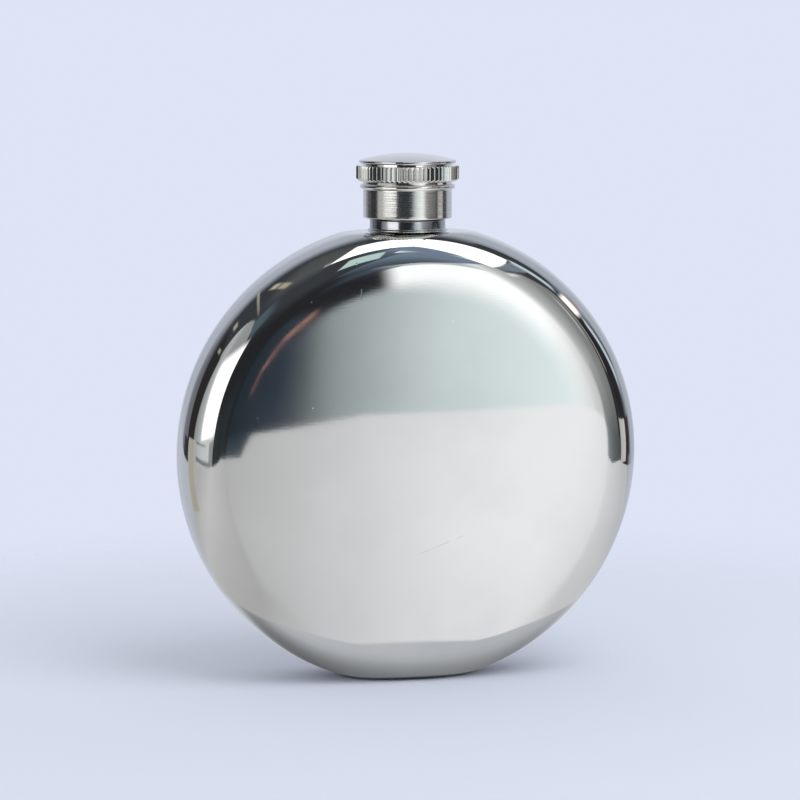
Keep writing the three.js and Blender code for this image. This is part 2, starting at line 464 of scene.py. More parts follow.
pressedBody = {
    "faceCrown": 320 * mm, "roll": 9 * mm, "rimCrown": 25 * mm,
    "easing": 2.4 * mm,  # length over which one curvature runs into the next
    "stride": 0.02 * mm,  # step of the walk along the profile
    "wall": 0.7 * mm, "flatBlend": 0.7 * mm,
    "segments": 320,
    "turn": math.radians(1.3), "run": 1.6 * mm,  # a row of faces at least this often
    "innerTurn": math.radians(6), "innerRun": 6 * mm,
    "neckHole": 6.6 * mm, "drillLength": 12 * mm, "drillSegments": 128,
}


# Half profile from the middle of the face to the seam
# Each point is (distance from the disc's axis, distance from the seam plane, slope)
def bodyCurve(halfThickness):
    b = pressedBody
    stride = b["stride"]
    rimCentre = Vector((bodyRadius - b["rimCrown"], 0))
    faceCentre = Vector((0, halfThickness - b["faceCrown"]))
    crossings = intersect_sphere_sphere_2d(
        rimCentre, b["rimCrown"] - b["roll"], faceCentre, b["faceCrown"] - b["roll"])
    rollCentre = max(crossings, key=lambda p: p.x)
    fromFace = rollCentre - faceCentre
    fromRim = rollCentre - rimCentre
    faceTurn = math.atan2(fromFace.x, fromFace.y)
    rimTurn = math.atan2(fromRim.y, fromRim.x)
    faceRun = faceTurn * b["faceCrown"]
    rollRun = (math.pi / 2 - faceTurn - rimTurn) * b["roll"]
    bends = [1 / b["faceCrown"], 1 / b["roll"], 1 / b["rimCrown"]]
    half = b["easing"] / 2
    curve = []
    place = Vector((0, halfThickness))
    slope = 0.0
    run = 0.0
    while slope < math.pi / 2:
        curve.append((place.x, place.y, slope))
        toRoll = smooth(run, faceRun - half, faceRun + half)
        toRim = smooth(run, faceRun + rollRun - half, faceRun + rollRun + half)
        bend = bends[0] + (bends[1] - bends[0]) * toRoll + (bends[2] - bends[1]) * toRim
        slope += bend * stride
        place += Vector((math.cos(slope), -math.sin(slope))) * stride
        run += stride
    # the walk ends a hair off the rim, so it is stretched to meet it
    wide, low = bodyRadius / place.x, place.y
    fit = halfThickness / (halfThickness - low)
    return [(x * wide, (y - low) * fit, slope) for x, y, slope in curve]


def pickRows(curve, depth, edge, turn, run):
    rows = []
    last = None
    for x, y, slope in curve:
        here = Vector((x - depth * math.sin(slope), y - depth * math.cos(slope)))
        if here.y <= edge:
            rows.append(Vector((here.x, edge)))
            break
        if last is None or slope - last[1] > turn or (here - last[0]).length > run:
            rows.append(here)
            last = (here, slope)
    rows[0].x = 0
    return rows


# The press flattens both ends of the round; the flat is eased into it
def pressEnds(verts, depth):
    blend = pressedBody["flatBlend"]
    limit = halfHeight - depth
    for v in verts:
        short = limit - abs(v.co.z)
        if short < blend:
            left = 0 if short <= -blend else (short + blend) ** 2 / (4 * blend)
            v.co.z = math.copysign(limit - left, v.co.z)


# One round hole down through the top, for the neck's spigot
def drillNeckHole(piece):
    b = pressedBody
    bm = bmesh.new()
    bmesh.ops.create_cone(bm, cap_ends=True, segments=b["drillSegments"], radius1=b["neckHole"],
                          radius2=b["neckHole"], depth=b["drillLength"],
                          matrix=Matrix.Translation((0, 0, topFlat)))
    mesh = bpy.data.meshes.new("drill")
    bm.to_mesh(mesh)
    bm.free()
    drill = bpy.data.objects.new("drill", mesh)
    bpy.context.scene.collection.objects.link(drill)
    cut = piece.modifiers.new("neckHole", "BOOLEAN")
    cut.operation = "DIFFERENCE"
    cut.solver = "MANIFOLD"
    cut.object = drill
    graph = bpy.context.evaluated_depsgraph_get()
    piece.data = bpy.data.meshes.new_from_object(piece.evaluated_get(graph))
    piece.modifiers.clear()
    bpy.data.objects.remove(drill)


# Spins a section round the disc's axis, presses its ends flat, sets it in place and drills it for the neck
def pressPiece(name, outer, inner, closed, steel, node):
    b = pressedBody
    bm = bmesh.new()
    inside = bm.verts.layers.int.new("inside")
    marks = [0] * len(outer) + [1] * len(inner)
    spin(bm, outer + inner[::-1], discAxis, b["segments"], closed, inside, marks)
    for mark, depth in ((0, 0), (1, b["wall"])):
        pressEnds([v for v in bm.verts if v[inside] == mark], depth)
    bmesh.ops.translate(bm, verts=bm.verts, vec=bodyCentre)
    drillNeckHole(finishPiece(name, bm, steel, "flask", node))


def makeShell(name, side, node, steel):
    b = pressedBody
    low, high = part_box(node)
    seam = min(abs(low.y), abs(high.y))
    curve = bodyCurve(max(abs(low.y), abs(high.y)))
    outer = pickRows(curve, 0, seam, b["turn"], b["run"])
    inner = pickRows(curve, b["wall"], seam, b["innerTurn"], b["innerRun"])
    outer, inner = ([Vector((p.x, side * p.y, 0)) for p in rows] for rows in (outer, inner))
    pressPiece(name, outer, inner, False, steel, node)


seamWeld = {"rows": 4, "bead": 0.3 * mm}


def makeRimWeld():
    b = pressedBody
    edge = weldHigh.y
    rimCentre = bodyRadius - b["rimCrown"]
    outer, inner = [], []
    for k in range(-seamWeld["rows"], seamWeld["rows"] + 1):
        y = edge * k / seamWeld["rows"]
        reach = math.sqrt(b["rimCrown"] ** 2 - y ** 2)
        swell = seamWeld["bead"] * (1 - (y / edge) ** 2)
        outer.append(Vector((rimCentre + reach, y, 0)))
        inner.append(Vector((rimCentre + reach - b["wall"] - swell, y, 0)))
    pressPiece("rimWeld", outer, inner, True, seamSteel, "rim_weld")


makeShell("frontShell", -1, "front_shell", frontSteel)
makeShell("rearShell", 1, "rear_shell", bodySteel)
makeRimWeld()


# Screw thread: one wave round the neck and the same wave, a clearance wider, inside the cap

screwThread = {
    "pitch": 2.0 * mm, "root": 6.35 * mm, "crest": 7.1 * mm, "capRoot": 7.45 * mm,
    "flank": 1.6,  # above 1 the wave is cut off to flat crests and roots
}


def threadWave(v):
    angle = math.atan2(v.co.y, v.co.x)
    phase = fullTurn * (v.co.z - neckHigh.z) / screwThread["pitch"] - angle
    return 0.5 + 0.5 * max(-1.0, min(1.0, screwThread["flank"] * math.cos(phase)))


def setRadius(v, radius):
    scale = radius / math.hypot(v.co.x, v.co.y)
    v.co.x *= scale
    v.co.y *= scale


# in this and the other turned pieces plain lengths are millimetres; heights here are from the top flat
neckTurning = {
    "bore": 5.5, "spigot": 6.4, "foot": 7.97, "footEdge": 0.3, "flareSteps": 8,
    "shoulder": 7.62, "shoulderHeight": 2.25, "rimLand": 6.6,
    "threadFoot": 1.1, "landFoot": 0.85, "mouth": 1.2,  # below the rim
    "spigotRounds": (0.15, 0.2), "shoulderRounds": (0.15, 0.12), "rimRounds": (0.1, 0.3, 0.35),
    "threadIn": (0.5, 1.3),  # above the shoulder, where the thread grows to its full height
    "threadOut": (1.2, 2.0),  # below the rim, where it dies away
    "segments": 192, "threadRow": 0.13,
}


def makeNeck():
    n = neckTurning
    t = screwThread
    rim = (neckHigh.z - topFlat) / mm
    bottom = (neckLow.z - topFlat) / mm
    root = t["root"] / mm
    flare = n["foot"] - n["shoulder"]
    corners = [
        (n["bore"], bottom, n["spigotRounds"][0]), (n["spigot"], bottom, n["spigotRounds"][1]),
        (n["spigot"], 0, 0), (n["foot"], 0, 0),
        *arcCorners(n["foot"], n["footEdge"] + flare, flare, flare, -90, -180, n["flareSteps"]),
        (n["shoulder"], n["shoulderHeight"], n["shoulderRounds"][0]),
        (root, n["shoulderHeight"], n["shoulderRounds"][1], n["threadRow"]),
        (root, rim - n["threadFoot"], 0), (n["rimLand"], rim - n["landFoot"], n["rimRounds"][0]),
        (n["rimLand"], rim, n["rimRounds"][1]), (n["bore"], rim, n["rimRounds"][2]),
        (n["bore"], rim - n["mouth"], 0),
    ]
    bm = bmesh.new()
    spin(bm, turnedRows(corners, topFlat), upAxis, n["segments"], closed=True)
    for v in bm.verts:
        height = (v.co.z - topFlat) / mm
        if abs(math.hypot(v.co.x, v.co.y) - t["root"]) < near:
            ends = smooth(height - n["shoulderHeight"], *n["threadIn"])
            ends *= smooth(rim - height, *n["threadOut"])
            setRadius(v, t["root"] + (t["crest"] - t["root"]) * threadWave(v) * ends)
    finishPiece("neckTube", bm, neckSteel, "flask", "neck")


footWeld = {"leg": 0.25, "rise": 0.25, "steps": 6, "segments": 288, "ripples": 72, "ripple": 0.012 * mm}


def makeNeckWeld():
    w = footWeld
    foot = neckTurning["foot"]
    fillet = arcCorners(foot + w["leg"], w["rise"], w["leg"], w["rise"], -90, -180, w["steps"])
    bm = bmesh.new()
    spin(bm, turnedRows([(foot, 0, 0), *fillet], topFlat), upAxis, w["segments"], closed=True)
    for v in bm.verts:
        proud = math.hypot(v.co.x, v.co.y) - foot * mm
        if proud > 2 * near and v.co.z > topFlat + near:
            lift = w["ripple"] * math.sin(w["ripples"] * math.atan2(v.co.y, v.co.x))
            setRadius(v, foot * mm + proud + lift)
    finishPiece("neckWeld", bm, seamSteel, "flask", "neck_weld")


makeNeck()
makeNeckWeld()


# Cap, heights from the lower edge of the skirt

capTurning = {
    "skirt": 8.92, "skirtHeight": 5.75, "mouth": 7.7, "bead": 9.58, "beadHeight": 1.15, "beadSteps": 12,
    "gripLow": 7.4, "gripHigh": 10.5, "lowerChamfer": 0.5, "upperChamfer": 0.2,
    "plainFoot": 0.1,  # the flutes begin this far out from the skirt
    "mouthRounds": (0.08, 0.22), "grooveRound": 0.05, "chamferRounds": (0.1, 0.12, 0.08), "topRound": 0.08,
    "skirtRow": 0.5, "gripRow": 0.4, "chamferRows": (0.07, 0.05), "threadRow": 0.15,
    "threadIn": (0.9, 1.7), "threadOut": (6.6, 7.4),  # where the thread grows and where it dies away
    "segments": 480, "sharpAngle": 50,
}
capGrip = {"teeth": 60, "tip": 10.325 * mm, "depth": 0.38 * mm, "crest": 1.15}


def makeCapSleeve():
    c = capTurning
    bore = screwThread["capRoot"] / mm
    top = (sleeveHigh.z - sleeveLow.z) / mm
    tip = capGrip["tip"] / mm
    proud, middle = c["bead"] - c["skirt"], c["skirtHeight"] + c["beadHeight"] / 2
    bead = arcCorners(c["skirt"], middle, proud, c["beadHeight"] / 2, -90, 90, c["beadSteps"])
    rounds, rows, groove = c["chamferRounds"], c["chamferRows"], c["grooveRound"]
    corners = [
        (c["mouth"], 0, c["mouthRounds"][0]), (c["skirt"], 0, c["mouthRounds"][1], c["skirtRow"]), *bead,
        (c["skirt"], c["gripLow"], groove), (tip - c["lowerChamfer"], c["gripLow"], rounds[0], rows[0]),
        (tip, c["gripLow"] + c["lowerChamfer"], rounds[1], c["gripRow"]),
        (tip, c["gripHigh"] - c["upperChamfer"], rounds[2], rows[1]),
        (tip - c["upperChamfer"], c["gripHigh"], groove), (c["skirt"], c["gripHigh"], groove),
        (c["skirt"], top, c["topRound"]), (bore, top, 0, c["threadRow"]), (bore, c["mouth"] - bore, 0),
    ]
    bm = bmesh.new()
    spin(bm, turnedRows(corners, sleeveLow.z), upAxis, c["segments"], closed=True)
    for v in bm.verts:
        height = (v.co.z - sleeveLow.z) / mm
        radius = math.hypot(v.co.x, v.co.y)
        inGrip = c["gripLow"] - near / mm < height < c["gripHigh"] + near / mm
        if abs(radius - screwThread["capRoot"]) < near:
            ends = smooth(height, *c["threadIn"]) * (1 - smooth(height, *c["threadOut"]))
            depth = screwThread["crest"] - screwThread["root"]
            setRadius(v, screwThread["capRoot"] - depth * (1 - threadWave(v)) * ends)
        elif inGrip and radius > (c["skirt"] + c["plainFoot"]) * mm:
            setRadius(v, min(radius, fluteRadius(v)))
    finishPiece("capSleeve", bm, capSteel, "cap", "cap_sleeve", c["sharpAngle"])


# Straight flutes: each tooth falls away from its crest to a groove on either side
def fluteRadius(v):
    share = math.atan2(v.co.y, v.co.x) / fullTurn * capGrip["teeth"]
    fromCrest = abs(share - round(share)) * 2
    return capGrip["tip"] - capGrip["depth"] * fromCrest ** capGrip["crest"]


discTurning = {
    "edge": 9.75, "edgeHeight": 0.6, "rise": 1.4, "plug": 7.35, "plugRound": 0.1, "edgeRounds": (0.28, 0.2),
    "segments": 256, "domeRows": 24,
}


def makeCapTop():
    d = discTurning
    plugDepth = (sleeveHigh.z - topLow.z) / mm
    radius = (d["edge"] ** 2 + d["rise"] ** 2) / (2 * d["rise"])
    reach = math.asin(d["edge"] / radius)
    turns = [reach * (1 - k / d["domeRows"]) for k in range(1, d["domeRows"] + 1)]
    middle = d["edgeHeight"] + d["rise"] - radius
    dome = [(radius * math.sin(a), middle + radius * math.cos(a), 0) for a in turns]
    corners = [
        (0, -plugDepth, 0), (d["plug"], -plugDepth, d["plugRound"]), (d["plug"], 0, 0),
        (d["edge"], 0, d["edgeRounds"][0]), (d["edge"], d["edgeHeight"], d["edgeRounds"][1]), *dome,
    ]
    bm = bmesh.new()
    spin(bm, turnedRows(corners, sleeveHigh.z, closed=False), upAxis, d["segments"])
    finishPiece("capTop", bm, bodySteel, "cap", "cap_top")


sealMoulding = {
    "inner": 5.45, "outer": 7.15, "rounding": 0.2, "row": 0.1, "segments": 160,
    "groove": 0.06 * mm, "grooveEdge": (0.2, 0.5),
}


def makeSeal():
    s = sealMoulding
    thick = (sealHigh.z - sealLow.z) / mm
    corners = [(s["inner"], 0, s["rounding"], s["row"]), (s["outer"], 0, s["rounding"]),
               (s["outer"], thick, s["rounding"]), (s["inner"], thick, s["rounding"])]
    bm = bmesh.new()
    spin(bm, turnedRows(corners, sealLow.z), upAxis, s["segments"], closed=True)
    for v in bm.verts:  # the rim of the neck leaves a shallow print underneath
        if v.co.z < sealLow.z + near:
            across = math.hypot(v.co.x, v.co.y) / mm - (neckTurning["bore"] + neckTurning["rimLand"]) / 2
            v.co.z += s["groove"] * (1 - smooth(abs(across), *s["grooveEdge"]))
    finishPiece("sealWasher", bm, sealRubber, "seal", "seal_washer")


makeCapSleeve()
makeCapTop()
makeSeal()


# Studio: a pale floor, a plain pale surround, soft boxes and grey cards that only the metal sees

studio = {
    "surround": (0.73, 0.776, 0.922, 1),
    "floorSeen": (0.72, 0.77, 0.90, 1),
    "ambient": 0.74,
    "darkLow": (0.024, 0.025, 0.029, 1), "darkHigh": (0.050, 0.056, 0.066, 1), "darkRise": (0.3, 0.6),
    "backdropInMetal": (0.73, 0.77, 0.88, 1), "backdropLow": (0.51, 0.56, 0.655, 1), "backdropAim": (162, 15),
    "backdropGlow": (0.85, 1.0), "backdropEdge": (0.33, 0.72),  # cosines of the angle from its middle
}
floorPlan = {
    "size": 3, "drop": 0.05 * mm,
    # the floor ends at these edges: the direction each faces and its distance from the flask
    "edges": ((-58.5, 0.333), (-90, 0.34), (0, 0.78), (100, 0.266), (180, 1.2)),
    "notch": (-0.060, -0.365),  # beyond this corner, to the left and to the front, there is no floor
    "fade": (0.10, 0.20),  # the camera sees the floor melt into the surround between these distances
}

white = (1, 1, 1)
cream = (1.0, 0.95, 0.84)
khaki = (1.0, 0.93, 0.74)
lavender = (0.87, 0.89, 1.0)
cool = (0.855, 0.97, 1.0)
blue = (0.57, 0.75, 1.0)
copper = (1.0, 0.5, 0.38)
sharp = (0.02, 0.02, 0.02, 0.02)

# Each card as the flask sees it: aim is the azimuth and elevation of its middle, half its half width and half
# height, all in degrees, and levels its brightness stops from left to right. soft is the share that fades at
# its left, right, lower and upper edge. A card with two shares, left and right, is round.
cards = {
    # left side
    "boxLeft": dict(aim=(-60.3, 13.2), half=(20.3, 15.8), distance=2.0, soft=(0.22, 0.03, 0.12, 0.2),
        levels=((0, 1.3), (0.25, 1.9), (1, 1.9))),
    "roundLeft": dict(aim=(-69.5, 5), half=(30, 36), distance=2.3, tint=(0.93, 0.98, 1.0), soft=(0.06, 0.06),
        levels=((0, 0.3), (0.34, 0.6), (0.5, 0.42), (1, 0.36))),
    "hazeLeft": dict(aim=(-43.2, 36.5), half=(12, 7), roll=-42, distance=1.85, tint=(0.55, 0.82, 1.0),
        soft=(0.3, 0.3, 0.05, 0.6), levels=((0, 0.2), (1, 0.15))),
    "flagLeft": dict(aim=(-106.5, 15), half=(12.5, 18), roll=-18, distance=1.9, soft=(0.05, 0.08, 0.02, 0.1),
        levels=((0, 0.03), (1, 0.03))),
    "greyLeft": dict(aim=(-138, 8), half=(16.5, 26), distance=1.85, tint=lavender,
        soft=(0.3, 0.03, 0.1, 0.5), levels=((0, 0.55), (0.4, 0.26), (1, 0.2))),
    "warmStripTop": dict(aim=(-85, 56.8), half=(19, 2.2), roll=4, distance=1.7, tint=khaki,
        soft=(0.2, 0.3, 0.3, 0.3),
        levels=((0, 0.5), (0.3, 0.62), (0.42, 0.2), (0.55, 0.5), (0.8, 0.52), (1, 0.12))),
    "warmStripMiddle": dict(aim=(-98, 47.6), half=(34, 0.8), distance=1.7, tint=cream,
        soft=(0.2, 0.3, 0.3, 0.3), levels=((0, 0.5), (0.5, 0.4), (1, 0.16))),
    "warmStripLow": dict(aim=(-106, 36.6), half=(8, 1.6), roll=4, distance=1.7, tint=khaki,
        soft=(0.3, 0.3, 0.3, 0.3), levels=((0, 0.2), (0.5, 0.5), (1, 0.3))),
    "warmStripFoot": dict(aim=(-106, 27.5), half=(8, 1.0), roll=5, distance=1.7, tint=khaki,
        soft=(0.3, 0.3, 0.3, 0.3), levels=((0, 0.2), (0.5, 0.45), (1, 0.2))),
    "upperShade": dict(aim=(-71.6, 64.6), half=(26, 16.3), roll=-44, distance=1.85, tint=(0.85, 0.94, 1.0),
        soft=(0.3, 0.4, 0.5, 0.04), levels=((0, 0.1), (1, 0.14))),
    "lowBand": dict(aim=(-73, -5), half=(22, 4.6), distance=1.8, tint=(0.95, 0.985, 1.0),
        soft=(0.04, 0.04, 0.02, 0.04), levels=((0, 0.5), (0.5, 0.72), (1, 0.8))),
    "lowLine": dict(aim=(-68, -7.3), half=(23, 1.0), roll=-3, distance=1.75, tint=cool,
        soft=(0.05, 0.2, 0.3, 0.3), levels=((0, 0.2), (1, 0.26))),
    "thinLine": dict(aim=(-74, -1.7), half=(17, 0.4), roll=-3, distance=1.75, soft=(0.1, 0.3, 0.3, 0.3),
        levels=((0, 0.12), (1, 0.35))),
    "darkLeft": dict(aim=(-122, -5), half=(16, 4), distance=1.7, tint=lavender, soft=(0.1, 0.05, 0.05, 0.1),
        levels=((0, 0.06), (1, 0.04))),
    "strawCard": dict(aim=(-97.6, -8.95), half=(9.6, 11.05), distance=0.1355, tint=(1.0, 0.97, 0.85),
        soft=(0.1, 0.08, 0.03, 0.03), levels=((0, 0.6), (0.25, 0.5), (0.8, 0.5), (1, 0.66))),
    # overhead
    "boxOver": dict(aim=(-4, 74), half=(15, 11.6), distance=1.9, soft=sharp, levels=((0, 1.9), (1, 1.9))),
    "boxRight": dict(aim=(43, 54.4), half=(18.8, 13), roll=37.6, distance=2.0, soft=sharp,
        levels=((0, 1.9), (1, 1.9))),
    "panelMiddle": dict(aim=(-2.7, 47.5), half=(5.4, 7.5), distance=1.9, tint=(0.75, 1.0, 0.96),
        soft=(0.05, 0.05, 0.05, 0.05), levels=((0, 0.85), (1, 0.85))),
    "panelSide": dict(aim=(13, 36), half=(17, 27), distance=2.5, tint=blue, soft=(0.3, 0.02, 0.12, 0.02),
        levels=((0, 0.05), (0.33, 0.14), (0.55, 0.36), (0.69, 0.41), (1, 0.4))),
    "panelEdge": dict(aim=(19, 46), half=(7, 14), roll=21, distance=1.95, tint=blue,
        soft=(0.5, 0.02, 0.3, 0.02), levels=((0, 0.4), (1, 0.41))),
    "panelLow": dict(aim=(13.8, 31.7), half=(15, 10), roll=49, distance=2.15, tint=blue,
        soft=(0.1, 0.1, 0.03, 0.06), levels=((0, 0.1), (0.25, 0.2), (0.6, 0.38), (1, 0.4))),
    # front
    "frontCard": dict(aim=(12.3, -6), half=(17.3, 15.7), distance=1.6, tint=cool, soft=(0.05, 0.18),
        levels=((0, 0.09), (0.13, 0.16), (0.18, 0.22), (0.27, 0.44), (0.49, 0.8), (0.58, 0.92),
                (0.94, 1.16), (1, 1.25))),
    "navyShade": dict(aim=(-4.9, -0.6), half=(7.4, 9.4), roll=-12, distance=1.55, tint=(0.5, 0.72, 1.0),
        soft=(0.4, 0.3, 0.02, 0.13), levels=((0, 0.04), (0.5, 0.055), (0.72, 0.08), (1, 0.15))),
    "navyLow": dict(aim=(-8, -7.0), half=(5.5, 2.4), distance=1.45, tint=(0.6, 0.82, 1.0),
        soft=(0.4, 0.2, 0.02, 0.6), levels=((0, 0.08), (1, 0.13))),
    "slateLeft": dict(aim=(-24, -1), half=(16, 9), distance=2.45, tint=(0.72, 0.9, 1.0),
        soft=(0.05, 0.3, 0.02, 0.5), levels=((0, 0.055), (0.4, 0.042), (1, 0.045))),
    "copperLow": dict(aim=(-3.85, -0.65), half=(0.1, 1.75), roll=-25.8, distance=1.5, tint=copper,
        soft=(0.3, 0.3, 0.5, 0.02), levels=((0, 0.4), (1, 0.4))),
    "copperMiddle": dict(aim=(-2.1, 2.22), half=(0.11, 1.85), roll=-36.7, distance=1.5, tint=copper,
        soft=(0.3, 0.3, 0.02, 0.02), levels=((0, 0.7), (1, 0.7))),
    "copperHigh": dict(aim=(0.9, 5.15), half=(0.13, 2.55), roll=-52.2, distance=1.5, tint=copper,
        soft=(0.3, 0.3, 0.02, 0.3), levels=((0, 1.1), (1, 1.1))),
    "glowEdge": dict(aim=(17.8, 21.1), half=(12, 4), roll=31, distance=2.2, tint=(0.93, 0.97, 1.0),
        soft=(0.2, 0.4, 0.25, 0.03), levels=((0, 0.7), (1, 0.7))),
    # right side
    "greyCard": dict(aim=(38.9, 16), half=(30.1, 25), distance=2.4, tint=(0.95, 0.985, 1.0),
        soft=(0.045, 0.06, 0.02, 0.06),
        levels=((0, 1.5), (0.27, 1.5), (0.315, 1.2), (0.36, 0.86), (0.41, 0.69), (0.45, 0.6),
                (0.73, 0.33), (1, 0.26))),
    "lowFlag": dict(aim=(55, -5.6), half=(18.5, 3.6), roll=-4, distance=0.30, tint=(0.85, 0.95, 1.0),
        soft=(0.12, 0.02, 0.02, 0.2), levels=((0, 0.5), (0.2, 0.28), (0.5, 0.17), (1, 0.1))),
    "lowShade": dict(aim=(51, -6), half=(18, 16), distance=2.35, tint=lavender, soft=(0.1, 0.02, 0.02, 0.8),
        levels=((0, 0.08), (1, 0.05))),
    "blueBand": dict(aim=(54.6, 41.3), half=(17, 3.2), roll=23.6, distance=2.3, tint=(0.72, 0.86, 1.0),
        soft=(0.1, 0.1, 0.1, 0.1), levels=((0, 0.26), (0.5, 0.34), (0.8, 0.3), (1, 0.55))),
    "edgeLight": dict(aim=(43.4, 33.2), half=(8, 1.3), roll=30, distance=2.25, soft=(0.2, 0.3, 0.4, 0.4),
        levels=((0, 0.7), (0.4, 1.0), (1, 0.55))),
    "bandLine": dict(aim=(56, 39.3), half=(15, 0.9), roll=17, distance=2.22, tint=lavender,
        soft=(0.2, 0.1, 0.3, 0.3), levels=((0, 0.2), (0.4, 0.1), (1, 0.05))),
    "lightStrip": dict(aim=(63, 24), half=(1.6, 8), distance=2.3, soft=(0.4, 0.4, 0.3, 0.3),
        levels=((0, 0.8), (1, 0.8))),
    "spotRight": dict(aim=(88.5, 29.7), half=(11, 4.6), distance=1.9, soft=(0.3, 0.4, 0.3, 0.3),
        levels=((0, 1.9), (1, 1.9))),
    "warmRight": dict(aim=(104, 28.3), half=(9, 3.2), distance=1.95, tint=(1.0, 0.78, 0.64),
        soft=(0.3, 0.5, 0.4, 0.4), levels=((0, 0.5), (1, 0.35))),
    "stripUpper": dict(aim=(82.5, 42), half=(4.8, 8.5), roll=22, distance=2.0, tint=(0.76, 0.9, 1.0),
        soft=(0.3, 0.3, 0.2, 0.1), levels=((0, 0.8), (1, 1.0))),
    "stripLower": dict(aim=(96.5, 15), half=(5, 12.5), roll=30, distance=2.0, tint=(0.76, 0.9, 1.0),
        soft=(0.35, 0.4, 0.3, 0.1), levels=((0, 1.0), (1, 0.85))),
    "blackRight": dict(aim=(85, 13), half=(8.5, 14), roll=9, distance=2.15, tint=lavender,
        soft=(0.1, 0.2, 0.02, 0.1), levels=((0, 0.03), (1, 0.035))),
    "slateRight": dict(aim=(104, 17), half=(5, 10), roll=25, distance=2.1, tint=cool,
        soft=(0.2, 0.5, 0.3, 0.3), levels=((0, 0.1), (1, 0.2))),
    "stripRight": dict(aim=(72.5, 23), half=(2.4, 14), roll=3, distance=2.12, tint=cream,
        soft=(0.3, 0.3, 0.1, 0.2), levels=((0, 0.2), (0.5, 0.42), (1, 0.2))),
    "blackFoot": dict(aim=(76, 5), half=(5.5, 5), distance=2.2, tint=lavender, soft=(0.1, 0.02, 0.02, 0.2),
        levels=((0, 0.05), (1, 0.03))),
    "darkTop": dict(aim=(90.5, 48), half=(8.5, 14), distance=2.1, tint=lavender, soft=(0.1, 0.06, 0.2, 0.1),
        levels=((0, 0.07), (1, 0.06))),
    "lowRight": dict(aim=(81.5, -5.2), half=(10.5, 4.8), distance=1.9, soft=(0.1, 0.08, 0.03, 0.03),
        levels=((0, 0.55), (0.5, 0.66), (1, 0.72))),
    "darkRight": dict(aim=(102, -4.5), half=(9, 4.5), distance=1.85, tint=cream, soft=(0.1, 0.3, 0.1, 0.1),
        levels=((0, 0.05), (1, 0.06))),
}


def heading(azimuth, elevation):
    a, e = math.radians(azimuth), math.radians(elevation)
    return Vector((math.sin(a) * math.cos(e), -math.cos(a) * math.cos(e), math.sin(e)))


def stageObject(name, bm, material):
    mesh = bpy.data.meshes.new(name)
    bm.to_mesh(mesh)
    bm.free()
    mesh.materials.append(material)
    made = bpy.data.objects.new(name, mesh)
    bpy.context.scene.collection.objects.link(made)
    return made


roundBlend = (0.2, -0.3)  # across a round card the right share turns into the left one here


def makeCard(name, aim, half, distance, soft, levels, tint=white, roll=0):
    material, look = newLook(name)
    x, y, _ = look.split(look.where())
    if len(soft) == 2:
        left, right = soft
        share = right + (left - right) * look.step(x, *roundBlend, "LINEAR")
        outer = 1 - 0.5 * (right - share)
        shape = look.step((x ** 2 + y ** 2) ** 0.5, outer, outer - share)
    else:
        left, right, lower, upper = soft
        shape = look.step(x, -1.0, 2 * left - 1) * look.step(x, 1.0, 1 - 2 * right)
        shape = shape * look.step(y, -1.0, 2 * lower - 1) * look.step(y, 1.0, 1 - 2 * upper)
    glow = look.glow(look.ramp(0.5 * x + 0.5, levels, tint), levels)
    look.surface(look.blend(shape, look.node("ShaderNodeBsdfTransparent"), glow))
    bm = bmesh.new()
    bmesh.ops.create_grid(bm, x_segments=1, y_segments=1, size=1)
    card = stageObject(name, bm, material)
    out = heading(*aim)
    sideways = heading(aim[0] + 90, 0)
    facing = Matrix((sideways, out.cross(sideways), out)).transposed().to_4x4()
    size = [distance * math.tan(math.radians(h)) for h in half]
    card.matrix_world = (Matrix.Translation(bodyCentre + out * distance) @ facing
                         @ Matrix.Rotation(math.radians(roll), 4, "Z") @ Matrix.Diagonal((*size, 1, 1)))
    card.visible_camera = False
    card.visible_diffuse = False
    card.visible_shadow = False


# What the metal sees of the floor is painted light and shade: its brightness runs with the direction, and a
# painted shadow lies round the foot
floorInMetal = {
    "origin": (-0.030, 0.080),  # directions are counted from here
    # painted light and shade: a brightness for each direction from the flask
    "tones": ((0, 0.58), (0.33, 0.54), (0.40, 0.71), (0.48, 0.58), (0.555, 1.08), (0.58, 1.13), (0.60, 0.87),
              (0.69, 0.65), (0.715, 0.68), (0.73, 0.35), (0.81, 0.58), (1, 0.66)),
    "warm": (1.0, 1.012, 1.024, 1), "pale": (0.984, 1.0, 1.045, 1), "paleTurn": (-0.3, 0.3),
    "behind": (0.93, 1.0, 1.22, 1), "behindTurn": (3.6, 7.0),  # of the direction squared
    "rear": (0.89, 0.95, 1.08, 1), "rearFrom": (0.015, 0.065),  # the same all over behind the flask
    # the floor is darker near the flask: painted shade
    "near": (0.93, 0.93, 0.93, 1), "far": (1.02, 1.02, 1.02, 1), "farFrom": (0.03, 0.15),
    # a painted shadow of the flask round the foot, a disc that is darkest close to the base
    "shadeMiddle": (0.0015, 0.020), "shadeRadius": 0.050, "shadeSoft": 1.3 * mm,  # where the shade ends
    "shadeAside": -0.008, "shadeStretch": (0.050, 0.014), "shadeReach": 2.5,
    "shades": ((0, 0.09), (0.14, 0.2), (0.23, 0.29), (0.42, 0.61), (0.55, 0.69), (1, 0.74)),
    "cast": (0.885, 0.93, 1.0),
    # a painted contact shadow where the base meets the floor
    "contact": (0.0135, 0.0073), "contactEdge": (1.0, 1.15), "contactShade": (0.03, 0.03, 0.035, 1),
}


